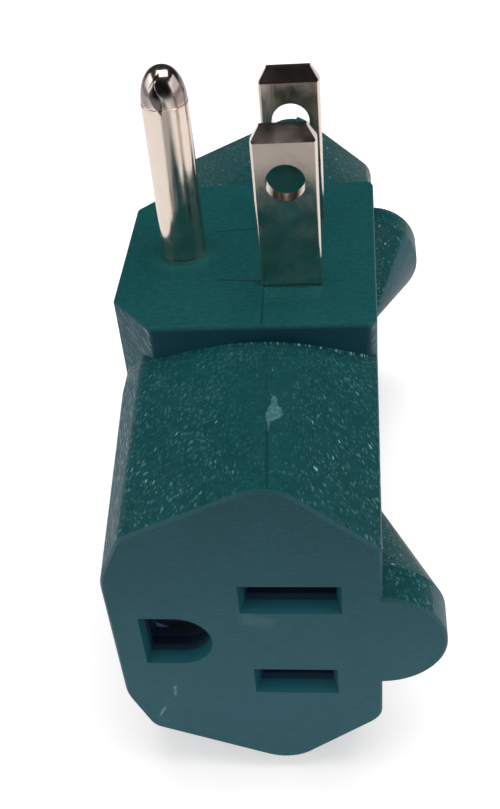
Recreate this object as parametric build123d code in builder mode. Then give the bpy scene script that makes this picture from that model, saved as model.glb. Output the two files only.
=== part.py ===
from build123d import *
import os
from math import atan, degrees

# Three-outlet wall tap: a grounded plug on top, two side outlets on arms and a third outlet underneath,
# all in one green vinyl moulding that was shot round three insulating cores, a bridge that holds the
# pins, three brass strips and nine spring contacts.
#
# Frame: Z = 0 is the plug face and the blades point up. X runs across the width of the blades, with
# the ground pin on the -X side. Y runs from the front outlet (-Y) to the rear outlet (+Y). The origin
# lies midway between the blades. All sizes are in millimetres.
#
# Every outlet has its own plane: x along X, y from its hot slot to its neutral slot, z out of its face.

# Standard layout of the pins, repeated in each outlet
blade_pitch = 12.7
ground_offset = 11.9

# Blades
blade_width = 6.35
blade_thickness = 1.5
blade_length = 17.7
blade_root = 10.0
blade_tip_flat = 4.5
blade_tip_rise = 1.6
blade_bevel_depth = 0.45
blade_bevel_rise = 1.6
blade_edge_round = 0.3
blade_hole_radius = 1.98
blade_hole_height = 11.9

# Ground pin
ground_radius = 2.38
ground_length = 21.0
ground_nose = 3.5
ground_nose_step = 0.05
ground_nose_flat = 0.4
ground_root_radius = 2.1
ground_root_depth = 0.1
spigot_radius = 1.3
spigot_head_radius = 2.0
spigot_head_height = 0.8

# Bridge, the moulded plate that holds the two blades and the pin
bridge_cover = 1.5
bridge_thickness = 2.7
bridge_margin = 1.8
bridge_round = 2.0

# Strips, their tabs and the rivets through them
strip_gauge = 0.8
strip_width = 3.6
strip_clearance = 0.25
tab_reach = 1.9
tab_height = 4.8
root_tab_height = 5.0
ground_tab_half = 2.4
rivet_radius = 0.8
rivet_shift = 0.5
rivet_head_radius = 1.35
rivet_head_height = 0.5
rivet_head_round = 0.2

# Spring contacts: folded clips for the blades and slit sleeves for the ground pin
contact_gauge = 0.6
contact_width = 6.0
contact_height = 4.6
contact_waist = 1.2
contact_mouth = 3.8
contact_lip_depth = 5.6
contact_waist_depth = 9.5
contact_back_run = 3.6
contact_bend = 0.9
sleeve_gauge = 0.45
sleeve_back_radius = 2.95
sleeve_waist_radius = 2.75
sleeve_mouth_radius = 3.15
sleeve_slit = 0.7
sleeve_back_run = 5.6

# Cores, the hard boxes that hold the contacts behind each outlet face
socket_depth = 22.6
skin = 3.0
core_wall = 1.2
core_back = 1.6
core_side_wall = 1.4
core_ground_wall = 0.7
core_top_wall = 0.9
core_round = 1.0
chamber_play = 0.4
chamber_margin = 0.5
sleeve_play = 0.15
seat_clearance = 0.1

# Openings in an outlet face; each narrows by its lead-in on every side
neutral_mouth_width = 9.7
hot_mouth_width = 8.4
mouth_height = 3.9
lead_in = 0.6
lead_in_depth = 2.0
ground_mouth_radius = 3.5
ground_mouth_shift = 0.5
ground_mouth_flat = 2.95
ground_lead_in = 0.4

# Plug block, as seen from above
outlet_drop = 22.6
block_depth = 27.6
block_left = 18.4
right_side = 8.6
block_corner_x = 4.4
block_corner_y = 4.8
block_corner_round = 0.8
block_right_round = 1.0
moulded_edge = 0.35

# Arms, across their run: heights are given as drops below the plug face
core_gap = 2.3
face_left = 17.75
face_shoulder_left = 15.2
face_crown_x = -1.1
face_crown_drop = 0.9
face_shoulder_drop = 7.9
face_hip_drop = 13.5
face_corner_drop = 9.4
face_crown_round = 4.5
face_hip_round = 6.0
face_keel_trim = 0.6
face_keel_left = 15.7
face_keel_corner_round = 3.0
root_left = 18.0
root_shoulder_left = 15.2
root_crown_x = -3.3
root_crown_drop = 1.1
root_shoulder_drop = 4.3
root_hip_drop = 8.3
root_corner_drop = 4.15
root_crown_round = 26.0
root_hip_round = 2.5
shoulder_round = 2.0
arm_corner_round = 0.5
face_bevel = 0.25

# Half-round ear at the right of each side outlet
ear_x = 8.4
ear_radius = 6.45
ear_rim = 4.2
ear_run = 18.5

# Worked out from the sizes above
blade_y = blade_pitch / 2
ground_x = -ground_offset
outlet_z = -outlet_drop
base_z = -2 * outlet_drop
bridge_bottom = -bridge_cover - bridge_thickness
root_rivet_z = bridge_bottom - root_tab_height / 2
chamber_height = contact_height + 2 * chamber_play
neutral_chamber = neutral_mouth_width - 2 * lead_in + chamber_margin
hot_chamber = hot_mouth_width - 2 * lead_in + chamber_margin
ground_chamber_radius = sleeve_mouth_radius + sleeve_play
core_height = blade_pitch + chamber_height + 2 * core_top_wall
core_left = ground_x - ground_chamber_radius - core_ground_wall
core_right = neutral_chamber / 2 + core_side_wall
core_width = core_right - core_left
core_x = (core_left + core_right) / 2
arm_reach = socket_depth + core_height / 2 + core_gap
arm_run = arm_reach - block_depth / 2
core_back_y = arm_reach - socket_depth
core_back_z = base_z + socket_depth
strip_x = blade_width / 2 + strip_clearance
ground_strip_x = ground_x + ground_radius + strip_clearance
spine_bottom = core_back_z + strip_gauge + strip_clearance
spine_top = spine_bottom + strip_width
leg_start = core_height / 2 + strip_clearance
shoulder_depth = socket_depth - contact_back_run

outlets = {
    "front": Plane(origin=(0, -arm_reach, outlet_z), x_dir=(1, 0, 0), z_dir=(0, -1, 0)),
    "rear": Plane(origin=(0, arm_reach, outlet_z), x_dir=(1, 0, 0), z_dir=(0, 1, 0)),
    "bottom": Plane(origin=(0, 0, base_z), x_dir=(1, 0, 0), z_dir=(0, 0, -1)),
}
ground_axis = Axis((ground_x, 0, 0), (0, 0, 1))


def face_outline():
    """Outline of a side outlet's face, in its plane; the keel below is a little shallower than the roof."""
    FilletPolyline(
        (-face_left, outlet_drop - face_hip_drop),
        (-face_shoulder_left, outlet_drop - face_shoulder_drop),
        (face_crown_x, outlet_drop - face_crown_drop),
        (right_side, outlet_drop - face_corner_drop),
        (right_side, face_corner_drop + face_keel_trim - outlet_drop),
        (face_crown_x, face_crown_drop + face_keel_trim - outlet_drop),
        (-face_keel_left, face_shoulder_drop - outlet_drop),
        (-face_left, face_hip_drop - outlet_drop),
        radius=[
            face_hip_round,
            shoulder_round,
            face_crown_round,
            arm_corner_round,
            face_keel_corner_round,
            face_crown_round,
            shoulder_round,
            face_hip_round,
        ],
        close=True,
    )


def root_outline():
    """Outline of an arm where it leaves the block, in the outlet's plane, alike above and below."""
    upper = [
        (-root_left, outlet_drop - root_hip_drop),
        (-root_shoulder_left, outlet_drop - root_shoulder_drop),
        (root_crown_x, outlet_drop - root_crown_drop),
        (right_side, outlet_drop - root_corner_drop),
    ]
    lower = [(x, -y) for x, y in reversed(upper)]
    radii = [root_hip_round, shoulder_round, root_crown_round, arm_corner_round]
    FilletPolyline(*upper, *lower, radius=radii + radii[::-1], close=True)


def bar(y0, z0, y1, z1):
    """Rectangle between two opposite corners, for a sketch on a YZ plane."""
    with Locations(((y0 + y1) / 2, (z0 + z1) / 2)):
        Rectangle(abs(y1 - y0), abs(z1 - z0))


def span(x0, x1, y, height):
    """Rectangle from x0 to x1, centred on y, for a sketch in an outlet plane."""
    with Locations(((x0 + x1) / 2, y)):
        Rectangle(x1 - x0, height)


def blade_mouths(inset):
    """The two blade openings of an outlet."""
    with Locations((0, blade_y)):
        Rectangle(neutral_mouth_width - 2 * inset, mouth_height - 2 * inset)
    with Locations((0, -blade_y)):
        Rectangle(hot_mouth_width - 2 * inset, mouth_height - 2 * inset)


def ground_mouth(inset):
    """D-shaped outline of a ground opening: flat on the outer side, half round on the inner side."""
    radius = ground_mouth_radius - inset
    centre = ground_x + ground_mouth_shift
    flat = ground_x - ground_mouth_flat + inset
    Polyline((centre, radius), (flat, radius), (flat, -radius), (centre, -radius))
    CenterArc((centre, 0), radius, -90, 180)


def turned(plane, x, y):
    """Plane for a profile about an axis out of an outlet: x is the radius, y the depth from the face."""
    return Plane(origin=plane.from_local_coords((x, y, 0)), x_dir=plane.x_dir, z_dir=plane.y_dir)


def rivet(grip):
    """Rivet through a thickness of grip, its first head on Z = 0 and its body below."""
    with BuildPart() as piece:
        with BuildSketch(Plane.XZ):
            with BuildLine():
                Polyline(
                    (0, rivet_head_height),
                    (rivet_head_radius, rivet_head_height),
                    (rivet_head_radius, 0),
                    (rivet_radius, 0),
                    (rivet_radius, -grip),
                    (rivet_head_radius, -grip),
                    (rivet_head_radius, -grip - rivet_head_height),
                    (0, -grip - rivet_head_height),
                    close=True,
                )
            make_face()
        revolve(axis=Axis.Z)
        rims = piece.edges().filter_by(GeomType.CIRCLE).sort_by(Axis.Z)
        fillet([rims[0], rims[-1]], radius=rivet_head_round)
    return piece.part


def write(part, name):
    """Labels a finished piece and writes its file."""
    part.label = name
    export_step(part, f"parts/{name}.step")


os.makedirs("parts", exist_ok=True)

# Rivets: one through each contact and its tab, and one through the root of each blade
contact_rivet = rivet(contact_gauge + strip_gauge)
sleeve_rivet = rivet(sleeve_gauge + strip_gauge)
root_rivet = rivet(blade_thickness + strip_gauge)

with BuildPart() as neutral_rivets:
    for face in outlets.values():
        seat = face.from_local_coords((-rivet_shift, blade_y, contact_gauge - socket_depth))
        add(contact_rivet.moved(Plane(origin=seat, x_dir=face.x_dir, z_dir=face.z_dir).location))
    root_seat = (-rivet_shift, -blade_y - blade_thickness / 2, root_rivet_z)
    add(root_rivet.moved(Plane(origin=root_seat, x_dir=(1, 0, 0), z_dir=(0, -1, 0)).location))
write(neutral_rivets.part, "neutral_rivets")

# Each piece of the hot side is the neutral one turned half round the vertical axis
with BuildPart() as hot_rivets:
    add(neutral_rivets.part.rotate(Axis.Z, 180))
write(hot_rivets.part, "hot_rivets")

with BuildPart() as ground_rivets:
    for face in outlets.values():
        seat = face.from_local_coords((ground_x, 0, sleeve_gauge - socket_depth))
        add(sleeve_rivet.moved(Plane(origin=seat, x_dir=face.x_dir, z_dir=face.z_dir).location))
write(ground_rivets.part, "ground_rivets")

# Neutral blade, with its lock hole, bevelled tip and riveted root
with BuildPart() as neutral_blade:
    with BuildSketch(Plane.XZ.offset(blade_y - blade_thickness / 2)):
        with BuildLine():
            Polyline(
                (-blade_width / 2, -blade_root),
                (blade_width / 2, -blade_root),
                (blade_width / 2, blade_length - blade_tip_rise),
                (blade_tip_flat / 2, blade_length),
                (-blade_tip_flat / 2, blade_length),
                (-blade_width / 2, blade_length - blade_tip_rise),
                close=True,
            )
        make_face()
    extrude(amount=blade_thickness)
    fillet(neutral_blade.edges().filter_by(Axis.Z), radius=blade_edge_round)
    with BuildSketch(Plane.YZ):
        with BuildLine():
            side = blade_thickness / 2
            tip = side - blade_bevel_depth
            Polyline(
                (-blade_y - side, -blade_root),
                (-blade_y + side, -blade_root),
                (-blade_y + side, blade_length - blade_bevel_rise),
                (-blade_y + tip, blade_length),
                (-blade_y - tip, blade_length),
                (-blade_y - side, blade_length - blade_bevel_rise),
                close=True,
            )
        make_face()
    extrude(amount=blade_width, both=True, mode=Mode.INTERSECT)
    with BuildSketch(Plane.XZ):
        with Locations((0, blade_hole_height)):
            Circle(blade_hole_radius)
    extrude(amount=2 * blade_y, mode=Mode.SUBTRACT)
    add(neutral_rivets.part, mode=Mode.SUBTRACT)
write(neutral_blade.part, "neutral_blade")

with BuildPart() as hot_blade:
    add(neutral_blade.part.rotate(Axis.Z, 180))
write(hot_blade.part, "hot_blade")

# Ground pin: bullet nose, straight shank, and a spigot headed over under its strip
with BuildPart() as ground_pin:
    with BuildSketch(Plane(origin=(ground_x, 0, 0), x_dir=(1, 0, 0), z_dir=(0, -1, 0))):
        with BuildLine():
            nose_base = ground_length - ground_nose
            nose_radius = ground_radius - ground_nose_step
            spigot_end = bridge_bottom - strip_gauge
            Polyline(
                (ground_nose_flat, ground_length),
                (0, ground_length),
                (0, spigot_end - spigot_head_height),
                (spigot_head_radius, spigot_end - spigot_head_height),
                (spigot_head_radius, spigot_end),
                (spigot_radius, spigot_end),
                (spigot_radius, bridge_bottom),
                (ground_root_radius, bridge_bottom),
                (ground_root_radius, -ground_root_depth),
                (ground_radius, -ground_root_depth),
                (ground_radius, nose_base - ground_nose_step),
                (nose_radius, nose_base),
            )
            EllipticalCenterArc(
                (ground_nose_flat, nose_base),
                nose_radius - ground_nose_flat,
                ground_nose,
                start_angle=0,
                arc_size=90,
            )
        make_face()
    revolve(axis=ground_axis)
write(ground_pin.part, "ground_pin")

# Bridge under the plug face, moulded round the roots of the blades and the pin
with BuildPart() as plug_bridge:
    with BuildSketch(Plane.XY.offset(-bridge_cover)):
        left = ground_x - ground_radius - bridge_margin
        right = blade_width / 2 + bridge_margin
        with Locations(((left + right) / 2, 0)):
            RectangleRounded(right - left, blade_pitch + blade_thickness + 2 * bridge_margin, bridge_round)
    extrude(amount=-bridge_thickness)
    for pin in (neutral_blade, hot_blade, ground_pin):
        add(pin.part, mode=Mode.SUBTRACT)
write(plug_bridge.part, "plug_bridge")

# Neutral strip: a flat stamping beside the blades, with tabs folded across behind each contact
with BuildPart() as neutral_strip:
    with BuildSketch(Plane.YZ.offset(-strip_x)):
        bar(-blade_y - strip_width / 2, bridge_bottom, -blade_y + strip_width / 2, core_back_z)
        bar(-core_back_y, outlet_z + blade_y - strip_width / 2, -blade_y, outlet_z + blade_y + strip_width / 2)
        bar(-blade_y, spine_bottom, core_back_y, spine_top)
        bar(leg_start, outlet_z - blade_y - tab_height / 2, core_back_y, spine_top)
    extrude(amount=-strip_gauge)
    for face in outlets.values():
        with BuildSketch(face.offset(-socket_depth)):
            span(-strip_x - strip_gauge, tab_reach, blade_y, tab_height)
        extrude(amount=-strip_gauge)
    with BuildSketch(Plane.XZ.offset(blade_y - blade_thickness / 2)):
        span(-strip_x - strip_gauge, tab_reach, root_rivet_z, root_tab_height)
    extrude(amount=-strip_gauge)
    add(neutral_rivets.part, mode=Mode.SUBTRACT)
write(neutral_strip.part, "neutral_strip")

with BuildPart() as hot_strip:
    add(neutral_strip.part.rotate(Axis.Z, 180))
write(hot_strip.part, "hot_strip")

# Ground strip: the pin's shoulder sits on its top tab, and its spigot is headed over below
with BuildPart() as ground_strip:
    with BuildSketch(Plane.YZ.offset(ground_strip_x)):
        bar(-ground_tab_half, bridge_bottom, ground_tab_half, core_back_z)
        bar(-core_back_y, spine_bottom, core_back_y, spine_top)
        for end in (-1, 1):
            bar(end * leg_start, outlet_z - ground_tab_half, end * core_back_y, spine_top)
    extrude(amount=strip_gauge)
    tab_left = ground_x - ground_tab_half
    tab_right = ground_strip_x + strip_gauge
    for face in outlets.values():
        with BuildSketch(face.offset(-socket_depth)):
            span(tab_left, tab_right, 0, 2 * ground_tab_half)
        extrude(amount=-strip_gauge)
    with BuildSketch(Plane.XY.offset(bridge_bottom)):
        span(tab_left, tab_right, 0, 2 * ground_tab_half)
    extrude(amount=-strip_gauge)
    add(ground_rivets.part, mode=Mode.SUBTRACT)
    add(ground_pin.part, mode=Mode.SUBTRACT)
write(ground_strip.part, "ground_strip")

# Blade contacts: a strip folded into a clip whose leaves pinch the blade and flare at the lips
leaf_back = (contact_height - contact_gauge) / 2
leaf_waist = (contact_waist + contact_gauge) / 2
leaf_lip = (contact_mouth - contact_gauge) / 2
leaf = [
    (leaf_lip, contact_lip_depth + contact_gauge / 2),
    (leaf_waist, contact_waist_depth),
    (leaf_back, shoulder_depth),
    (leaf_back, socket_depth - contact_gauge / 2),
]
clip_path = leaf + [(-x, y) for x, y in reversed(leaf)]

for side, face in outlets.items():
    for pole, y, rivets in (("neutral", blade_y, neutral_rivets), ("hot", -blade_y, hot_rivets)):
        centre = face.from_local_coords((0, y, 0))
        with BuildPart() as contact:
            with BuildSketch(Plane(origin=centre, x_dir=face.y_dir, z_dir=-face.x_dir)):
                with BuildLine():
                    FilletPolyline(*clip_path, radius=contact_bend)
                    offset(amount=contact_gauge / 2, side=Side.BOTH)
                make_face()
            extrude(amount=contact_width / 2, both=True)
            add(rivets.part, mode=Mode.SUBTRACT)
        write(contact.part, f"{side}_{pole}_contact")

# Ground contacts: a drawn sleeve, slit crosswise into four fingers that close on the pin
for side, face in outlets.items():
    with BuildPart() as contact:
        with BuildSketch(turned(face, ground_x, 0)):
            with BuildLine():
                Polyline(
                    (0, socket_depth),
                    (sleeve_back_radius, socket_depth),
                    (sleeve_back_radius, shoulder_depth),
                    (sleeve_waist_radius, contact_waist_depth),
                    (sleeve_mouth_radius, contact_lip_depth),
                    (sleeve_mouth_radius - sleeve_gauge, contact_lip_depth),
                    (sleeve_waist_radius - sleeve_gauge, contact_waist_depth),
                    (sleeve_back_radius - sleeve_gauge, shoulder_depth),
                    (sleeve_back_radius - sleeve_gauge, socket_depth - sleeve_gauge),
                    (0, socket_depth - sleeve_gauge),
                    close=True,
                )
            make_face()
        revolve(axis=Axis(face.from_local_coords((ground_x, 0, 0)), face.z_dir))
        with BuildSketch(face.offset(-contact_lip_depth)):
            with Locations((ground_x, 0)):
                Rectangle(4 * sleeve_mouth_radius, sleeve_slit, rotation=45)
                Rectangle(4 * sleeve_mouth_radius, sleeve_slit, rotation=-45)
        extrude(amount=contact_lip_depth + sleeve_back_run - socket_depth, mode=Mode.SUBTRACT)
        add(ground_rivets.part, mode=Mode.SUBTRACT)
    write(contact.part, f"{side}_ground_contact")

# Cores: three chambers each, open at the back for the contacts and at the front for the pins
core_blanks = []
for side, face in outlets.items():
    with BuildPart() as blank:
        with BuildSketch(face.offset(-skin)):
            with Locations((core_x, 0)):
                RectangleRounded(core_width, core_height, core_round)
        extrude(amount=skin - socket_depth)
    core_blanks.append(blank.part)
    with BuildPart() as core:
        add(blank.part)
        with BuildSketch(face.offset(-skin - core_wall)):
            with Locations((0, blade_y)):
                Rectangle(neutral_chamber, chamber_height)
            with Locations((0, -blade_y)):
                Rectangle(hot_chamber, chamber_height)
            with Locations((ground_x, 0)):
                Circle(ground_chamber_radius)
        extrude(amount=skin + core_wall + core_back - socket_depth, mode=Mode.SUBTRACT)
        with BuildSketch(face.offset(-socket_depth)):
            with Locations((0, blade_y), (0, -blade_y)):
                Rectangle(contact_width + 2 * seat_clearance, contact_height + 2 * seat_clearance)
            with Locations((ground_x, 0)):
                Circle(sleeve_back_radius + seat_clearance)
        extrude(amount=core_back, mode=Mode.SUBTRACT)
        with BuildSketch(face.offset(-skin)):
            blade_mouths(lead_in)
            with BuildLine():
                ground_mouth(ground_lead_in)
            make_face()
        extrude(amount=-core_wall, mode=Mode.SUBTRACT)
    write(core.part, f"{side}_core")

# Body: the plug block with cut corners, and an arm lofted from a low arched root to each outlet face
with BuildPart() as body:
    with BuildSketch(Plane.XY):
        with BuildLine():
            edge = block_depth / 2
            FilletPolyline(
                (right_side, -edge),
                (right_side, edge),
                (block_corner_x - block_left, edge),
                (-block_left, edge - block_corner_y),
                (-block_left, block_corner_y - edge),
                (block_corner_x - block_left, -edge),
                radius=[block_right_round] * 2 + [block_corner_round] * 4,
                close=True,
            )
        make_face()
    extrude(amount=base_z)
    fillet(body.faces().sort_by(Axis.Z)[-1].edges(), radius=moulded_edge)
    fillet(body.faces().sort_by(Axis.Z)[0].edges(), radius=moulded_edge)

    for side in ("front", "rear"):
        face = outlets[side]
        with BuildSketch(face.offset(-face_bevel)):
            with BuildLine():
                face_outline()
            make_face()
        with BuildSketch(face.offset(-arm_run)):
            with BuildLine():
                root_outline()
            make_face()
        loft(ruled=True)
        with BuildSketch(face.offset(-face_bevel)):
            with BuildLine():
                face_outline()
            make_face()
        extrude(amount=face_bevel, taper=45)
        with BuildSketch(face.offset(-arm_run)):
            with BuildLine():
                root_outline()
            make_face()
        extrude(amount=-block_depth / 2)
        with BuildSketch(turned(face, ear_x, 0)):
            with BuildLine():
                Polyline(
                    (0, ear_run),
                    (0, 0),
                    (ear_radius - face_bevel, 0),
                    (ear_radius, face_bevel),
                    (ear_radius, ear_rim),
                    close=True,
                )
            make_face()
        revolve(axis=Axis(face.from_local_coords((ear_x, 0, 0)), face.z_dir))

    for face in outlets.values():
        with BuildSketch(face):
            blade_mouths(0)
        extrude(amount=-lead_in_depth, taper=degrees(atan(lead_in / lead_in_depth)), mode=Mode.SUBTRACT)
        with BuildSketch(face):
            with BuildLine():
                ground_mouth(0)
            make_face()
        extrude(amount=-lead_in_depth, taper=degrees(atan(ground_lead_in / lead_in_depth)), mode=Mode.SUBTRACT)
        with BuildSketch(face.offset(-lead_in_depth)):
            blade_mouths(lead_in)
            with BuildLine():
                ground_mouth(ground_lead_in)
            make_face()
        extrude(amount=lead_in_depth - skin, mode=Mode.SUBTRACT)

    for blank in core_blanks:
        add(blank, mode=Mode.SUBTRACT)
    for piece in (neutral_blade, hot_blade, ground_pin, plug_bridge, neutral_strip, hot_strip, ground_strip,
                  neutral_rivets, hot_rivets, ground_rivets):
        add(piece.part, mode=Mode.SUBTRACT)
write(body.part, "body")
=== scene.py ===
import math
import random

import bpy
from mathutils import Euler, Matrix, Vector
from mathutils.bvhtree import BVHTree

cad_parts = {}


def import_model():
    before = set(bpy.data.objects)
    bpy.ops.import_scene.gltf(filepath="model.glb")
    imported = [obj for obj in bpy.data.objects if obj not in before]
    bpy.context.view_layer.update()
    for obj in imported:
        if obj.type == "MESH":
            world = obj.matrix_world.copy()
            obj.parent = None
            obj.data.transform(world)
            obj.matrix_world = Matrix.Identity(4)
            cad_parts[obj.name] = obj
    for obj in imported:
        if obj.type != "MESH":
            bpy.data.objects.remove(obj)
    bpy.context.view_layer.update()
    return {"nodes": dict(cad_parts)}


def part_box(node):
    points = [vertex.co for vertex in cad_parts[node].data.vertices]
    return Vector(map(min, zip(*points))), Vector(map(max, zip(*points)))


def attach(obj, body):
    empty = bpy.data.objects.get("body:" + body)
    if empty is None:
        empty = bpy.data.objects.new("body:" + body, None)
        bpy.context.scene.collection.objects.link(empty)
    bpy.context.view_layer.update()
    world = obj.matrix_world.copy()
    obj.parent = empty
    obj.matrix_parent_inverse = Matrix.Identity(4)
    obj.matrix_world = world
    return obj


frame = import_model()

# Looks of the three-outlet wall tap. Lengths are in metres, and MM turns millimetres into metres.
MM = 0.001
nodes = frame["nodes"]
body_low, body_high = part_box("body")
reach = body_high.y / MM
base = body_low.z / MM
outlet_z = base / 2

# Camera, as in the photograph
camera_place = Vector((7.04, -101.07, 65.47)) * MM
camera_angles = (49.17, 4.42, 3.83)
focal_pixels = 1112.0
photo_height = 809
sensor = 24.0

# Places on the tap, in millimetres
block_front = 13.8
arm_right = 8.6
crown_x = -1.8
face_bevel = 0.3
mouth_left, mouth_right = -15.6, 5.2
mouth_half = 8.6
mouth_depth = 3.3
lip_depth = 1.35
pin_x = -11.9
pin_radius = 2.38
nose_foot = 16.9
blade_y = 6.35
blade_half = 3.175
blade_thick = 1.5

# How far a place may lie off a plane of the tap and still count as on it
near_plane = 0.02

# How far the skin of the plug face goes down its edges
plug_edge = 0.5

# How deep the edge of a small piece sinks into the body
edge_sunk = 0.02

# Gap between the tap and the floor, so that the two don't share a plane
floor_gap = 0.02

# The painted glints on the roofs, pale flakes, spread like a fan from this distance off the middle, evenly
# spaced at this radius
fan_apex = 8.0
fan_radius = 18.0

# Colours of the vinyl
roof_greens = (0.0014, 0.044, 0.049), (0.0028, 0.061, 0.064)
# Painted light: the upright walls are lighter and bluer than the roofs, for the light that falls on them
painted_light_wall_greens = (0.0055, 0.053, 0.070), (0.0080, 0.067, 0.087)
# Painted shade on the walls that face along the arms, such as the front wall of the block
painted_shade_end_green = (0.0040, 0.042, 0.060)
# Painted light on the lit ledges inside the mouths
painted_light_mouth_green = (0.0120, 0.090, 0.115)
# Painted shade deep in the throats of the mouths, past the lip
painted_shade_throat_blue = (0.0140, 0.034, 0.070)
mottle_green = (0.0012, 0.026, 0.031)
streak_green = (0.0050, 0.084, 0.086)
# Painted glints: the pale flakes on the roofs
painted_glint_green = (0.22, 0.52, 0.54)
# Painted glints: the pale dashes on the side walls
painted_glint_dash_green = (0.13, 0.30, 0.32)
dust_green = (0.10, 0.30, 0.30)
rubbed_green = (0.05, 0.26, 0.24)
# Dark mould marks, and painted shade in the groove of the crown seam
mark_and_crease_shade_green = (0.002, 0.020, 0.024)
brushed_green = (0.10, 0.26, 0.28)
scuff_grey = (0.25, 0.36, 0.37)
torn_greens = (0.012, 0.080, 0.085), (0.040, 0.17, 0.18)
flash_greens = (0.0015, 0.042, 0.046), (0.0040, 0.064, 0.068)

# Colours of the metals and the resin
nickel_tones = (0.66, 0.55, 0.48), (0.77, 0.67, 0.60)
pit_brown = (0.42, 0.33, 0.28)
# Painted shade in the notch and along the fold of the pin's nose
painted_shade_notch_black = (0.035, 0.032, 0.040)
painted_shade_fold_brown = (0.22, 0.14, 0.11)
# Painted dark reflection on the sides of the pin's nose
painted_reflection_nose_purple = (0.15, 0.11, 0.12)
brass_tones = (0.45, 0.29, 0.11), (0.66, 0.45, 0.19)
spring_tones = (0.50, 0.36, 0.17), (0.72, 0.54, 0.28)
resin_blues = (0.020, 0.044, 0.092), (0.027, 0.060, 0.118)


# Materials
class Tree:
    """A material's node tree, with short ways to add nodes and join them.

    The functions that make the vinyl and the nickel also keep on it the places and zones that they share.
    """

    def __init__(self, name, shader="ShaderNodeBsdfPrincipled"):
        self.material = bpy.data.materials.new(name)
        self.material.use_nodes = True
        self.tree = self.material.node_tree
        self.tree.nodes.clear()
        out = self.tree.nodes.new("ShaderNodeOutputMaterial")
        self.shader = self.tree.nodes.new(shader)
        self.tree.links.new(self.shader.outputs[0], out.inputs["Surface"])

    def put(self, socket, value):
        """Joins an output to an input, or sets the input's value."""
        if isinstance(value, bpy.types.NodeSocket):
            self.tree.links.new(value, socket)
        elif socket.type == "RGBA":
            socket.default_value = (*value, 1.0)
        else:
            socket.default_value = value

    def add(self, kind, settings=None, **inputs):
        """Adds a node; inputs are named with underscores in place of spaces."""
        made = self.tree.nodes.new(kind)
        for key, value in (settings or {}).items():
            setattr(made, key, value)
        for key, value in inputs.items():
            self.put(made.inputs[key.replace("_", " ")], value)
        return made

    def math(self, operation, *values):
        made = self.add("ShaderNodeMath", {"operation": operation})
        for socket, value in zip(made.inputs, values):
            self.put(socket, value)
        return made.outputs[0]

    def plus(self, first, second):
        return self.math("ADD", first, second)

    def minus(self, first, second):
        return self.math("SUBTRACT", first, second)

    def times(self, first, second):
        return self.math("MULTIPLY", first, second)

    def size(self, value):
        return self.math("ABSOLUTE", value)

    def above(self, value, limit):
        return self.math("GREATER_THAN", value, limit)

    def below(self, value, limit):
        return self.math("LESS_THAN", value, limit)

    def either(self, first, second):
        return self.math("MAXIMUM", first, second)

    def opposite(self, value):
        return self.math("SUBTRACT", 1.0, value)

    def ramp(self, value, low, high, to_low=0.0, to_high=1.0, smooth=True):
        """Maps low..high to to_low..to_high, clamped."""
        made = self.add("ShaderNodeMapRange", {"interpolation_type": "SMOOTHSTEP" if smooth else "LINEAR"})
        for socket, number in zip(made.inputs, (value, low, high, to_low, to_high)):
            self.put(socket, number)
        return made.outputs[0]

    def mix(self, factor, first, second):
        """Mixes two colours."""
        made = self.add("ShaderNodeMix", {"data_type": "RGBA"})
        self.put(made.inputs[0], factor)
        self.put(made.inputs[6], first)
        self.put(made.inputs[7], second)
        return made.outputs[2]

    def blend(self, factor, first, second):
        """Mixes two numbers."""
        made = self.add("ShaderNodeMix", {"data_type": "FLOAT"})
        self.put(made.inputs[0], factor)
        self.put(made.inputs[2], first)
        self.put(made.inputs[3], second)
        return made.outputs[0]

    def join(self, x, y, z):
        return self.add("ShaderNodeCombineXYZ", X=x, Y=y, Z=z).outputs[0]

    def noise(self, vector, scale, detail=2.0, roughness=0.5):
        made = self.add("ShaderNodeTexNoise", Vector=vector, Scale=scale, Detail=detail, Roughness=roughness)
        return made.outputs["Fac"]

    def dashes(self, vector, low, high, share):
        """Scattered dashes, one to a cell in a share of the cells: their shape, and a random number."""
        cells = self.add("ShaderNodeTexVoronoi", {"voronoi_dimensions": "2D"}, Vector=vector, Scale=1.0,
                         Randomness=1.0)
        random_colour = self.add("ShaderNodeSeparateColor", Color=cells.outputs["Color"])
        chosen = self.below(random_colour.outputs[0], share)
        reach_out = self.ramp(random_colour.outputs[1], 0.0, 1.0, low, high, smooth=False)
        inner = self.times(reach_out, 0.35)
        shape = self.opposite(self.ramp(cells.outputs["Distance"], inner, reach_out))
        return self.times(shape, chosen), random_colour.outputs[2]

    def line(self, x, y, start, end, width):
        """Strength of a thin straight line from start to end."""
        (x0, y0), (x1, y1) = start, end
        length = math.hypot(x1 - x0, y1 - y0)
        ux, uy = (x1 - x0) / length, (y1 - y0) / length
        dx, dy = self.minus(x, x0), self.minus(y, y0)
        along = self.plus(self.times(dx, ux), self.times(dy, uy))
        across = self.size(self.minus(self.times(dx, uy), self.times(dy, ux)))
        begun = self.ramp(along, -0.2, 0.5)
        not_over = self.ramp(along, length - 0.5, length + 0.2, 1.0, 0.0)
        return self.times(self.ramp(across, width * 0.3, width, 1.0, 0.0), self.times(begun, not_over))

    def position(self):
        """Place on the object in millimetres: a vector, and its x, y and z."""
        place = self.add("ShaderNodeTexCoord").outputs["Object"]
        scaled = self.add("ShaderNodeVectorMath", {"operation": "SCALE"}, Vector=place, Scale=1 / MM)
        split = self.add("ShaderNodeSeparateXYZ", Vector=scaled.outputs[0])
        return scaled.outputs[0], *split.outputs

    def bump(self, height, depth_mm, strength=1.0, normal=None):
        made = self.add("ShaderNodeBump", Height=height, Distance=depth_mm * MM, Strength=strength)
        if normal:
            self.put(made.inputs["Normal"], normal)
        return made.outputs[0]

    def shade(self, **inputs):
        """Sets the inputs of the surface shader."""
        for key, value in inputs.items():
            self.put(self.shader.inputs[key.replace("_", " ")], value)
        return self.material


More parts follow.
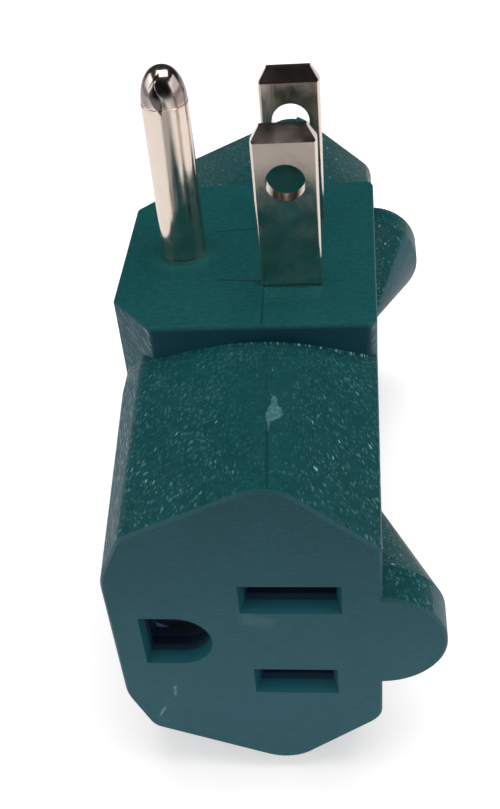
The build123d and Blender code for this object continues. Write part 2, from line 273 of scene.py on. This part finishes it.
def zones(t):
    """Where each kind of skin lies on the vinyl, as strengths from 0 to 1."""
    normal = t.add("ShaderNodeNewGeometry").outputs["Normal"]
    _, normal_y, normal_z = t.add("ShaderNodeSeparateXYZ", Vector=normal).outputs
    across_mouth = t.times(t.above(t.x, mouth_left), t.below(t.x, mouth_right))
    beside_middle = t.size(t.minus(t.z, outlet_z))
    side_mouth = t.times(t.above(t.out_y, reach - mouth_depth), t.below(beside_middle, mouth_half))
    base_mouth = t.times(t.below(t.z, base + mouth_depth), t.below(t.out_y, mouth_half))
    in_mouth = t.times(across_mouth, t.either(side_mouth, base_mouth))
    t.on_outlet = t.either(t.above(t.out_y, reach - near_plane), t.below(t.z, base + near_plane))
    t.in_mouth = t.times(in_mouth, t.opposite(t.on_outlet))
    past_lip = t.times(t.below(t.out_y, reach - lip_depth), t.above(t.z, base + lip_depth))
    t.in_throat = t.times(t.in_mouth, past_lip)
    t.on_plug = t.above(t.z, -plug_edge)
    t.on_bevel = t.times(t.above(t.out_y, reach - face_bevel), t.opposite(t.either(t.on_outlet, t.in_mouth)))
    t.smooth = t.either(t.either(t.on_outlet, t.on_bevel), t.either(t.on_plug, t.in_mouth))
    t.upward = t.ramp(t.size(normal_z), 0.58, 0.68)
    t.is_roof = t.times(t.upward, t.opposite(t.smooth))
    is_wall = t.times(t.opposite(t.upward), t.opposite(t.smooth))
    facing = t.ramp(t.size(normal_y), 0.8, 0.95)
    t.on_end = t.times(facing, is_wall)
    t.on_side = t.times(t.opposite(facing), is_wall)


def roof_glints(t):
    """Pale flakes of painted glint on the roofs and keels, laid out like a fan from the block to the outlet
    face.
    """
    from_apex = t.minus(t.out_y, fan_apex)
    off = t.minus(t.x, crown_x)
    radius = t.math("SQRT", t.plus(t.times(off, off), t.times(from_apex, from_apex)))
    turn = t.times(t.math("ARCTAN2", off, from_apex), fan_radius)
    turn = t.plus(turn, t.times(t.minus(t.noise(t.place, 0.45, 2.0), 0.5), 1.2))

    # Large and small flakes of painted glint, with so many cells to a millimetre across the fan and along it
    large, large_random = t.dashes(t.join(t.times(turn, 3.4), t.times(radius, 1.15), 0.0), 0.16, 0.40, 0.60)
    small, small_random = t.dashes(t.join(t.times(turn, 5.2), t.times(radius, 1.9), 0.0), 0.22, 0.50, 0.60)
    patchy = t.ramp(t.noise(t.place, 0.22, 3.0, 0.65), 0.34, 0.60, 0.35, 1.0)
    beside_crown = t.ramp(t.size(off), 0.6, 5.0, 0.25, 1.0)
    toward_block = t.ramp(t.out_y, block_front + 1.0, block_front + 8.0, 1.0, 0.0)
    strength = t.times(t.times(patchy, t.either(beside_crown, toward_block)), t.is_roof)
    bright = t.blend(t.above(large_random, 0.96), t.ramp(large_random, 0.0, 0.96, 0.03, 0.24), 0.65)
    speck = t.times(t.times(large, bright), strength)
    speck = t.either(speck, t.times(t.times(small, t.ramp(small_random, 0.2, 1.0, 0.02, 0.20)), strength))

    # Bright dots of painted glint where the roof meets the wall of the block, mostly on the right of the
    # crown
    joint = t.ramp(t.out_y, block_front + 0.15, block_front + 0.55, 1.0, 0.0)
    joint = t.times(joint, t.above(t.out_y, block_front + near_plane))
    to_right = t.ramp(t.x, crown_x - 6.0, crown_x + 5.0, 0.10, 0.7)
    dots = t.ramp(t.noise(t.join(t.times(t.x, 1.9), 0.0, 0.0), 1.0, 2.0, 0.7), 0.50, 0.60)
    dots = t.times(t.times(dots, t.times(joint, t.is_roof)), to_right)
    return t.either(speck, dots)


def wall_dashes(t):
    """Coarse dashes on the side walls, raised and glossy, with pale painted glints in their colour: along the
    arm, and slanting down on the walls of the block.
    """
    wander = t.times(t.minus(t.noise(t.place, 0.35, 2.0), 0.5), 1.5)
    lean = t.minus(t.times(t.z, 0.8), t.times(t.size(t.x), 0.6))
    along_arm = t.join(t.times(t.plus(lean, wander), 5.0), t.times(t.out_y, 0.75), 0.0)
    slope = t.minus(t.times(t.z, 0.6), t.times(t.y, 0.8))
    fall = t.plus(t.times(t.z, 0.8), t.times(t.y, 0.6))
    along_block = t.join(t.times(t.plus(slope, t.times(wander, 0.6)), 5.0), t.times(fall, 0.7), 0.0)
    on_block = t.below(t.out_y, block_front + 0.3)
    pick = t.add("ShaderNodeMix", {"data_type": "VECTOR"})
    t.put(pick.inputs[0], on_block)
    t.put(pick.inputs[4], along_arm)
    t.put(pick.inputs[5], along_block)
    dash, dash_random = t.dashes(pick.outputs[1], 0.34, 0.60, 0.66)
    but_not_ears = t.ramp(t.x, arm_right + 0.3, arm_right + 1.5, 1.0, 0.12)
    strength = t.times(t.ramp(dash_random, 0.0, 0.8, 0.2, 1.0), but_not_ears)
    return t.times(t.times(dash, strength), t.on_side)


def mould_marks(t):
    """Witness lines on the plug face, and the vinyl rubbed in front of the front blade and the pin."""
    marks = t.either(t.line(t.x, t.y, (-9.04, 3.61), (-3.63, 4.13), 0.16),
                     t.line(t.x, t.y, (-7.97, -5.71), (-3.14, -6.11), 0.16))
    marks = t.either(marks, t.times(t.line(t.x, t.y, (-2.92, -7.2), (-2.77, -13.8), 0.14), 0.8))
    patch_x = t.times(t.ramp(t.x, -3.3, -2.9), t.ramp(t.x, 2.6, 3.4, 1.0, 0.0))
    patch_y = t.times(t.ramp(t.y, -10.5, -7.4), t.below(t.y, -7.05))
    off = t.minus(t.x, pin_x)
    span = t.math("SQRT", t.plus(t.times(off, off), t.times(t.y, t.y)))
    round_pin = t.times(t.ramp(span, pin_radius + 0.1, pin_radius + 2.4, 0.9, 0.0), t.ramp(t.y, 0.5, -1.5))
    rubbed = t.either(t.times(patch_x, patch_y), round_pin)
    return t.times(marks, t.on_plug), t.times(rubbed, t.on_plug)


def crown_seam(t):
    """Line where the halves of the mould met, from the block along the crown of each arm: a shallow groove,
    its darkness painted shade.
    """
    near = t.line(t.x, t.out_y, (-2.37, 15.2), (-1.66, 26.0), 0.13)
    far = t.line(t.x, t.out_y, (-1.60, 26.8), (-1.21, 34.6), 0.16)
    return t.times(t.either(t.times(near, 0.35), t.times(far, 0.8)), t.is_roof)


def scuffs(t):
    """Pale scratches and a worn patch on the front outlet face."""
    scratches = t.either(t.line(t.x, t.z, (-12.5, -29.8), (-12.7, -31.8), 0.2),
                         t.line(t.x, t.z, (-13.9, -33.6), (-14.8, -35.4), 0.2))
    worn = t.times(t.line(t.x, t.z, (-4.9, -18.9), (-1.5, -19.9), 1.1), 0.22)
    grainy = t.times(t.either(scratches, worn), t.ramp(t.fine, 0.42, 0.6))
    return t.times(grainy, t.times(t.on_outlet, t.below(t.y, 0.0)))


def skins(t):
    """Everything that the vinyl's colour, gloss and relief have in common."""
    t.speck = roof_glints(t)
    t.dash = wall_dashes(t)
    marks, t.rubbed = mould_marks(t)
    t.marks = t.either(marks, crown_seam(t))
    t.end_lines = t.noise(t.join(t.times(t.x, 3.0), t.y, t.times(t.z, 0.5)), 1.0, 3.0, 0.6)
    t.face_lines = t.noise(t.join(t.times(t.x, 0.6), t.y, t.times(t.z, 4.0)), 1.0, 3.0, 0.65)
    t.fine = t.noise(t.place, 6.0, 3.0, 0.65)
    t.dust = t.ramp(t.noise(t.place, 9.0, 2.0, 0.5), 0.60, 0.74)


def vinyl_colour(t):
    """Greens of each zone with painted light and shade, and over them the flakes and dashes of painted glint,
    the marks and the wear.
    """
    clouds = t.noise(t.place, 0.16, 3.0, 0.6)
    mottle = t.ramp(t.noise(t.place, 1.1, 3.0, 0.6), 0.38, 0.62)
    brushed = t.noise(t.join(t.times(t.x, 1.3), t.times(t.y, 3.2), t.z), 1.0, 4.0, 0.75)
    streaks = t.times(t.ramp(brushed, 0.44, 0.58), t.on_plug)
    face_streaks = t.times(t.ramp(t.face_lines, 0.5, 0.68), t.on_outlet)

    # The plain skins, with painted light and shade in them: lighter, bluer walls, shaded end walls, a lit
    # ledge and a shaded throat in the mouths; and then what lies on them
    colour = t.mix(t.upward, t.mix(clouds, *painted_light_wall_greens), t.mix(clouds, *roof_greens))
    # Painted shade on the end walls
    colour = t.mix(t.on_end, colour, painted_shade_end_green)
    # Painted light on the ledges inside the mouths
    colour = t.mix(t.in_mouth, colour, painted_light_mouth_green)
    # Painted shade deep in the throats, past the lip
    colour = t.mix(t.in_throat, colour, painted_shade_throat_blue)
    colour = t.mix(t.times(t.times(mottle, t.is_roof), 0.35), colour, mottle_green)
    colour = t.mix(t.times(streaks, 0.55), colour, streak_green)
    # Painted glints: the pale flakes on the roofs, which are also glossier and raised
    colour = t.mix(t.speck, colour, painted_glint_green)
    # Painted glints: the pale dashes on the side walls
    colour = t.mix(t.times(t.dash, 0.5), colour, painted_glint_dash_green)
    colour = t.mix(t.times(t.dust, t.times(t.smooth, 0.16)), colour, dust_green)
    colour = t.mix(t.times(t.rubbed, t.ramp(t.fine, 0.42, 0.62, 0.02, 0.30)), colour, rubbed_green)
    # Mould marks, and painted shade in the groove of the crown seam
    colour = t.mix(t.times(t.marks, 0.6), colour, mark_and_crease_shade_green)
    colour = t.mix(t.times(face_streaks, 0.07), colour, brushed_green)
    return t.mix(t.times(scuffs(t), 0.7), colour, scuff_grey)


def vinyl_gloss(t):
    """Roughness, and how strongly the skin mirrors."""
    rough = t.blend(t.either(t.speck, t.dash), 0.50, 0.24)
    rough = t.blend(t.on_outlet, rough, t.ramp(t.fine, 0.3, 0.7, 0.34, 0.44))
    rough = t.blend(t.on_plug, rough, t.ramp(t.fine, 0.3, 0.7, 0.50, 0.62))
    wall_sheen = t.ramp(t.x, arm_right - 1.2, arm_right - 0.6, 0.16, 0.50)
    sheen = t.blend(t.upward, wall_sheen, 0.11)
    sheen = t.blend(t.speck, sheen, 0.60)
    sheen = t.blend(t.dash, sheen, 0.65)
    return rough, t.blend(t.either(t.on_outlet, t.on_bevel), sheen, 0.42)


def vinyl_relief(t):
    """Small bumps of each skin."""
    normal = t.bump(t.speck, 0.07)
    normal = t.bump(t.dash, 0.20, 1.0, normal)
    normal = t.bump(t.times(t.end_lines, t.on_end), 0.10, 1.0, normal)
    normal = t.bump(t.times(t.face_lines, t.on_outlet), 0.02, 1.0, normal)
    normal = t.bump(t.times(t.plus(t.fine, t.dust), t.smooth), 0.03, 1.0, normal)
    normal = t.bump(t.times(t.noise(t.place, 3.4, 3.0, 0.6), t.is_roof), 0.05, 1.0, normal)
    return t.bump(t.opposite(t.marks), 0.05, 1.0, normal)


def vinyl():
    """Dark green vinyl: pale flakes of painted glint on the roofs, coarse dashes with painted glints on the
    walls, painted light and shade on the walls, ends and mouths, a fine skin elsewhere.
    """
    t = Tree("green_vinyl")
    t.place, t.x, t.y, t.z = t.position()
    t.out_y = t.size(t.y)
    zones(t)
    skins(t)
    rough, sheen = vinyl_gloss(t)
    return t.shade(Base_Color=vinyl_colour(t), Roughness=rough, Normal=vinyl_relief(t), IOR=1.46,
                   Specular_IOR_Level=sheen)


def pinched_nose(t, colour):
    """The nose of the ground pin, its sides darkened by a painted dark reflection: a fold runs down a little
    left of its front and opens into a notch, both pressed in and darkened with painted shade.
    """
    pin_off = t.minus(t.x, pin_x)
    of_pin = t.below(t.x, pin_x + 3.0)
    around = t.math("ARCTAN2", pin_off, t.times(t.y, -1.0))
    middle = t.ramp(t.z, 17.0, 19.2, 0.0, -0.30, smooth=False)
    spread = t.times(t.ramp(t.z, nose_foot, 18.3, 0.02, 0.34), t.ramp(t.z, 18.6, 20.0, 1.0, 0.15))
    notch = t.opposite(t.ramp(t.math("DIVIDE", t.size(t.minus(around, middle)), spread), 0.55, 1.0))
    notch = t.times(t.times(notch, t.above(t.z, nose_foot)), of_pin)
    fold = t.times(t.line(pin_off, t.z, (-1.15, 19.3), (0.10, 20.95), 0.16), of_pin)
    beside = t.times(t.ramp(t.size(pin_off), 0.5, 1.5), t.ramp(t.z, 17.0, 18.0))
    # Painted shade in the notch and along the fold
    colour = t.mix(t.times(notch, 0.85), colour, painted_shade_notch_black)
    colour = t.mix(t.times(fold, 0.6), colour, painted_shade_fold_brown)
    # Painted dark reflection on the sides of the nose
    colour = t.mix(t.times(t.times(beside, of_pin), 0.75), colour, painted_reflection_nose_purple)
    return colour, t.times(t.either(notch, fold), t.below(t.y, 0.0))


def nickel():
    """Bright nickel plate with fine drawn lines, a few rubs and pits, and the pinched nose of the pin."""
    t = Tree("nickel_plate")
    t.place, t.x, t.y, t.z = t.position()
    drawn = t.noise(t.join(t.times(t.x, 9.0), t.times(t.y, 9.0), t.times(t.z, 0.4)), 1.0, 3.0)
    rubs = t.noise(t.place, 0.5, 3.0, 0.65)
    pits = t.ramp(t.noise(t.place, 3.0, 4.0, 0.7), 0.62, 0.75)
    colour = t.mix(rubs, *nickel_tones)
    colour = t.mix(t.times(pits, 0.3), colour, pit_brown)
    colour, crease = pinched_nose(t, colour)
    rough = t.plus(t.ramp(rubs, 0.3, 0.7, 0.10, 0.20), t.times(pits, 0.10))
    normal = t.bump(drawn, 0.005)
    normal = t.bump(t.noise(t.place, 0.35, 1.0), 0.03, 0.5, normal)
    normal = t.bump(t.opposite(crease), 0.02, 1.0, normal)
    return t.shade(Base_Color=colour, Metallic=1.0, Roughness=rough, Normal=normal)


def sheet_brass(name, dark, bright):
    """Stamped or rolled brass with rolling lines."""
    t = Tree(name)
    place, x, y, z = t.position()
    lines = t.noise(t.join(t.times(x, 6.0), t.times(y, 6.0), z), 1.0, 3.0)
    tarnish = t.noise(place, 0.4, 3.0, 0.6)
    colour = t.mix(tarnish, dark, bright)
    rough = t.ramp(tarnish, 0.3, 0.7, 0.38, 0.22)
    return t.shade(Base_Color=colour, Metallic=1.0, Roughness=rough, Normal=t.bump(lines, 0.01))


def resin():
    """Dark hard resin of the cores and the bridge."""
    t = Tree("dark_resin")
    place = t.position()[0]
    flow = t.noise(place, 0.3, 3.0, 0.6)
    colour = t.mix(flow, *resin_blues)
    rough = t.ramp(t.noise(place, 5.0, 2.0), 0.3, 0.7, 0.42, 0.55)
    return t.shade(Base_Color=colour, Roughness=rough, Normal=t.bump(t.noise(place, 6.0, 2.0), 0.01))


def torn_vinyl():
    """Pale rough vinyl where a gate was broken off."""
    t = Tree("torn_vinyl")
    grain = t.noise(t.position()[0], 3.0, 3.0, 0.65)
    colour = t.mix(t.ramp(grain, 0.30, 0.70), *torn_greens)
    return t.shade(Base_Color=colour, Roughness=0.42, Normal=t.bump(grain, 0.06))


def flash_vinyl():
    """The vinyl of the body, for the small steps and rims that stand on it."""
    t = Tree("flash_vinyl")
    grain = t.noise(t.position()[0], 4.0, 3.0, 0.6)
    colour = t.mix(grain, *flash_greens)
    return t.shade(Base_Color=colour, Roughness=0.50, Normal=t.bump(grain, 0.04), Specular_IOR_Level=0.2)


def dress(material, *names):
    """Gives CAD nodes a material."""
    for name in names:
        slots = nodes[name].data.materials
        slots.clear()
        slots.append(material)


sides = ("front", "rear", "bottom")
poles = ("neutral", "hot", "ground")
dress(vinyl(), "body")
dress(nickel(), "neutral_blade", "hot_blade", "ground_pin")
strips_and_rivets = [f"{pole}_{part}" for part in ("strip", "rivets") for pole in poles]
contacts = [f"{side}_{pole}_contact" for side in sides for pole in poles]
dress(sheet_brass("brass", *brass_tones), *strips_and_rivets)
dress(sheet_brass("spring_brass", *spring_tones), *contacts)
dress(resin(), "plug_bridge", *[f"{side}_core" for side in sides])


# Small pieces that stand on the body
def skin_of(name):
    """Search tree of a node's surface, in the shared frame."""
    found = nodes[name]
    places = [found.matrix_world @ corner.co for corner in found.data.vertices]
    return BVHTree.FromPolygons(places, [tuple(face.vertices) for face in found.data.polygons])


body_skin = skin_of("body")


def roof_height(x, y):
    """Height of the body under a place, in millimetres."""
    over_the_tap = 0.05
    hit = body_skin.ray_cast(Vector((x * MM, y * MM, over_the_tap)), Vector((0, 0, -1)))[0]
    return hit.z / MM


def piece(name, corners, faces, material):
    """Makes a mesh piece that belongs to the tap, from corners in millimetres."""
    mesh = bpy.data.meshes.new(name)
    mesh.from_pydata([Vector(corner) * MM for corner in corners], [], faces)
    mesh.validate()
    for face in mesh.polygons:
        face.use_smooth = True
    mesh.materials.append(material)
    made = bpy.data.objects.new(name, mesh)
    bpy.context.scene.collection.objects.link(made)
    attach(made, "root")
    return made


def grid_faces(rows, columns, around=False):
    """Faces of a grid of rows by columns, closed round its columns if asked."""
    faces = []
    for row in range(rows - 1):
        for column in range(columns if around else columns - 1):
            near = row * columns + column
            side = row * columns + (column + 1) % columns
            faces.append((near, side, side + columns, near + columns))
    return faces


def ribbon(name, path, width, height, material, seed, ragged):
    """Low ridge along a path of (x, y) places, laid on the body; ragged is how much its size wanders."""
    chance = random.Random(seed)
    corners = []
    steps = 7
    for index, (x, y) in enumerate(path):
        x0, y0 = path[max(index - 1, 0)]
        x1, y1 = path[min(index + 1, len(path) - 1)]
        length = math.hypot(x1 - x0, y1 - y0)
        nx, ny = (y1 - y0) / length, (x0 - x1) / length
        taper = math.sin(math.pi * (index + 0.5) / len(path)) ** 0.3
        wide = width * taper * (1 + ragged * (chance.random() - 0.5))
        high = height * taper * (1 + ragged * (chance.random() - 0.5))
        for step in range(steps):
            t = step / (steps - 1) * 2 - 1
            px, py = x + nx * t * wide / 2, y + ny * t * wide / 2
            rise = high * max(0.0, 1 - t * t) - edge_sunk * abs(t)
            corners.append((px, py, roof_height(px, py) + rise))
    return piece(name, corners, grid_faces(len(path), steps), material)


def gate_scar(material):
    """Flake left where the gate was broken off the front roof: two lobes and a thin tail."""
    chance = random.Random(11)
    rows, columns = 48, 21
    start, end = -22.1, -27.2
    widest_half, thickness = 0.95, 0.10
    # Share of the length, x of the middle, and share of the widest half width
    stations = ((0.0, -1.20, 0.15), (0.10, -1.15, 0.40), (0.22, -1.15, 0.28), (0.35, -1.05, 0.72),
                (0.50, -1.05, 0.85), (0.62, -1.25, 0.66), (0.72, -1.50, 0.22), (0.85, -1.50, 0.10),
                (1.0, -1.50, 0.05))
    corners = []
    for row in range(rows):
        s = row / (rows - 1)
        y = start + (end - start) * s
        near = max(station for station in stations[:-1] if station[0] <= s)
        far = stations[stations.index(near) + 1]
        share = (s - near[0]) / (far[0] - near[0])
        middle = near[1] + (far[1] - near[1]) * share
        half = widest_half * (near[2] + (far[2] - near[2]) * share) * (1 + 0.3 * (chance.random() - 0.5))
        for column in range(columns):
            t = column / (columns - 1) * 2 - 1
            x = middle + half * t
            rise = thickness * max(0.0, 1 - t ** 4) * (0.4 + 0.9 * chance.random()) - edge_sunk
            corners.append((x, y, roof_height(x, y) + rise))
    return piece("gate_scar", corners, grid_faces(rows, columns), material)


def crown_step(material):
    """Step at the end of the rear crown, where the halves of the mould stood a little apart."""
    rows, columns = 15, 13
    start, end = 29.0, reach - face_bevel
    left, width, height = -1.2, 2.2, 0.40
    step_sunk = 0.01
    corners = []
    for row in range(rows):
        along = row / (rows - 1)
        y = start + (end - start) * along
        for column in range(columns):
            t = column / (columns - 1)
            x = left + width * t
            rise = height * along * (1 - t) if column else -3 * step_sunk
            corners.append((x, y, roof_height(x, y) + rise - step_sunk))
    return piece("rear_crown_step", corners, grid_faces(rows, columns), material)


def pin_collar(material):
    """Uneven rim of vinyl round the foot of the ground pin."""
    chance = random.Random(5)
    columns, lump_count = 72, 12
    lumps = [chance.uniform(0.6, 1.3) for _ in range(lump_count)]
    off_pin = 0.005
    # Distance from the foot's inner edge, and height
    rows = ((0.0, 0.16), (0.08, 0.14), (0.20, 0.07), (0.34, 0.03), (0.50, -edge_sunk))
    corners = []
    for out, high in rows:
        for column in range(columns):
            angle = 2 * math.pi * column / columns
            place = column / columns * lump_count
            low = int(place)
            lump = lumps[low] + (lumps[(low + 1) % lump_count] - lumps[low]) * (place - low)
            radius = pin_radius + off_pin + out * lump
            rise = high * lump if high > 0 else high
            corners.append((pin_x + radius * math.cos(angle), radius * math.sin(angle), rise))
    return piece("pin_collar", corners, grid_faces(len(rows), columns, around=True), material)


def blade_lip(name, side, material, seed):
    """Thin flash of vinyl along the foot of a blade, on the side toward its outlet."""
    width, height = 0.22, 0.15
    off_blade, end_gap, count = 0.09, 0.1, 24
    y = side * (blade_y + blade_thick / 2 + off_blade)
    half = blade_half - end_gap
    path = [(-half + 2 * half * index / count, y) for index in range(count + 1)]
    return ribbon(name, path, width, height, material, seed, ragged=0.9)


torn = torn_vinyl()
flash = flash_vinyl()
gate_scar(torn)
crown_step(flash)
pin_collar(flash)
blade_lip("neutral_blade_lip", -1, flash, 31)
blade_lip("hot_blade_lip", 1, flash, 32)


# Floor
def floor():
    """Pale floor that keeps the tap's shadow; the tap mirrors it dimmer in front, with a dark strip."""
    half = 0.9
    plain, glow_near, glow_far = (0.74, 0.73, 0.735), 0.42, 1.0
    aside_level, front_level, strip_level, far_level = 0.95, 0.46, 0.05, 0.04
    low = (base - floor_gap) * MM
    corners = [(-half, -half, low), (half, -half, low), (half, half, low), (-half, half, low)]
    mesh = bpy.data.meshes.new("floor")
    mesh.from_pydata(corners, [], [(0, 1, 2, 3)])
    made = bpy.data.objects.new("floor", mesh)
    bpy.context.scene.collection.objects.link(made)
    t = Tree("pale_floor", "ShaderNodeAddShader")
    x, y = t.position()[1:3]
    path = t.add("ShaderNodeLightPath").outputs
    in_front = t.times(t.ramp(y, -30.0, -38.0), t.ramp(t.size(x), 42.0, 62.0, 1.0, 0.0))
    on_strip = t.times(t.ramp(y, -56.0, -64.0), t.ramp(y, -88.0, -98.0, 1.0, 0.0))
    level = t.blend(on_strip, front_level, strip_level)
    level = t.blend(t.ramp(y, -150.0, -200.0), level, far_level)
    level = t.blend(in_front, aside_level, level)
    mirrored = t.join(level, level, level)
    colour = t.mix(path["Is Glossy Ray"], plain, mirrored)
    diffuse = t.add("ShaderNodeBsdfDiffuse", Color=colour)
    away = t.math("SQRT", t.plus(t.times(x, x), t.times(y, y)))
    strength = t.times(path["Is Camera Ray"], t.ramp(away, 120.0, 450.0, glow_near, glow_far))
    glow = t.add("ShaderNodeEmission", Color=(1.0, 0.995, 1.0), Strength=strength)
    t.put(t.shader.inputs[0], diffuse.outputs[0])
    t.put(t.shader.inputs[1], glow.outputs[0])
    made.data.materials.append(t.material)


floor()


# Light
def lamp(name, place, target, width, height, power, colour, spread=180.0):
    """Soft lamp that looks at a target, with the spread of its beam in degrees."""
    data = bpy.data.lights.new(name, "AREA")
    data.shape = "RECTANGLE"
    data.size = width
    data.size_y = height
    data.energy = power
    data.color = colour
    data.spread = math.radians(spread)
    made = bpy.data.objects.new(name, data)
    bpy.context.scene.collection.objects.link(made)
    made.location = place
    made.rotation_euler = (Vector(target) - Vector(place)).to_track_quat("-Z", "Y").to_euler()


def fade(tree, source, *numbers):
    """In the world's tree, maps the first two of four numbers to the last two."""
    made = tree.nodes.new("ShaderNodeMapRange")
    tree.links.new(source, made.inputs["Value"])
    for socket, number in zip(made.inputs[1:5], numbers):
        socket.default_value = number
    return made.outputs[0]


def world():
    """White to the camera, and to everything else a room that is pale at the horizon and dark overhead."""
    to_camera, to_walls = 1.0, 0.32
    made = bpy.data.worlds.new("studio")
    bpy.context.scene.world = made
    made.use_nodes = True
    tree = made.node_tree
    tree.nodes.clear()
    out = tree.nodes.new("ShaderNodeOutputWorld")
    path = tree.nodes.new("ShaderNodeLightPath")
    place = tree.nodes.new("ShaderNodeTexCoord")
    split = tree.nodes.new("ShaderNodeSeparateXYZ")
    tree.links.new(place.outputs["Generated"], split.inputs[0])

    # What the tap mirrors is pale only near the horizon, and dark behind the camera
    level = tree.nodes.new("ShaderNodeMath")
    level.operation = "MULTIPLY"
    tree.links.new(fade(tree, split.outputs["Z"], -0.04, 0.14, 0.70, 0.03), level.inputs[0])
    tree.links.new(fade(tree, split.outputs["Y"], -0.75, -0.45, 0.05, 1.0), level.inputs[1])

    # That goes to glossy rays, an even level to the others, and white to the camera
    choice = tree.nodes.new("ShaderNodeMix")
    tree.links.new(path.outputs["Is Glossy Ray"], choice.inputs[0])
    choice.inputs[2].default_value = to_walls
    tree.links.new(level.outputs[0], choice.inputs[3])
    seen = tree.nodes.new("ShaderNodeMix")
    tree.links.new(path.outputs["Is Camera Ray"], seen.inputs[0])
    tree.links.new(choice.outputs[0], seen.inputs[2])
    seen.inputs[3].default_value = to_camera
    background = tree.nodes.new("ShaderNodeBackground")
    background.inputs["Color"].default_value = (1.0, 1.0, 1.0, 1.0)
    tree.links.new(seen.outputs[0], background.inputs["Strength"])
    tree.links.new(background.outputs[0], out.inputs[0])


world()
lamp("key", (0.06, 0.02, 0.45), (0, 0, -0.02), 0.38, 0.38, 1.8, (1.0, 0.99, 0.97))
lamp("left", (-0.42, -0.06, 0.18), (0, 0, -0.03), 0.50, 0.30, 0.9, (0.97, 0.99, 1.0))
lamp("right", (0.42, -0.04, 0.16), (0, 0, -0.03), 0.50, 0.26, 0.7, (0.97, 0.99, 1.0))
lamp("low front", (-0.01, -0.36, -0.022), (0.01, -0.035, -0.036), 0.30, 0.03, 0.027, (0.96, 0.99, 1.0), 16.0)


# Camera
def camera():
    """Camera of the photograph."""
    data = bpy.data.cameras.new("camera")
    data.sensor_fit = "VERTICAL"
    data.sensor_height = sensor
    data.lens = focal_pixels * sensor / photo_height
    data.clip_start = 0.005
    made = bpy.data.objects.new("camera", data)
    bpy.context.scene.collection.objects.link(made)
    made.location = camera_place
    made.rotation_euler = Euler([math.radians(angle) for angle in camera_angles], "XYZ")
    bpy.context.scene.camera = made


camera()
bpy.context.scene.view_settings.view_transform = "Standard"
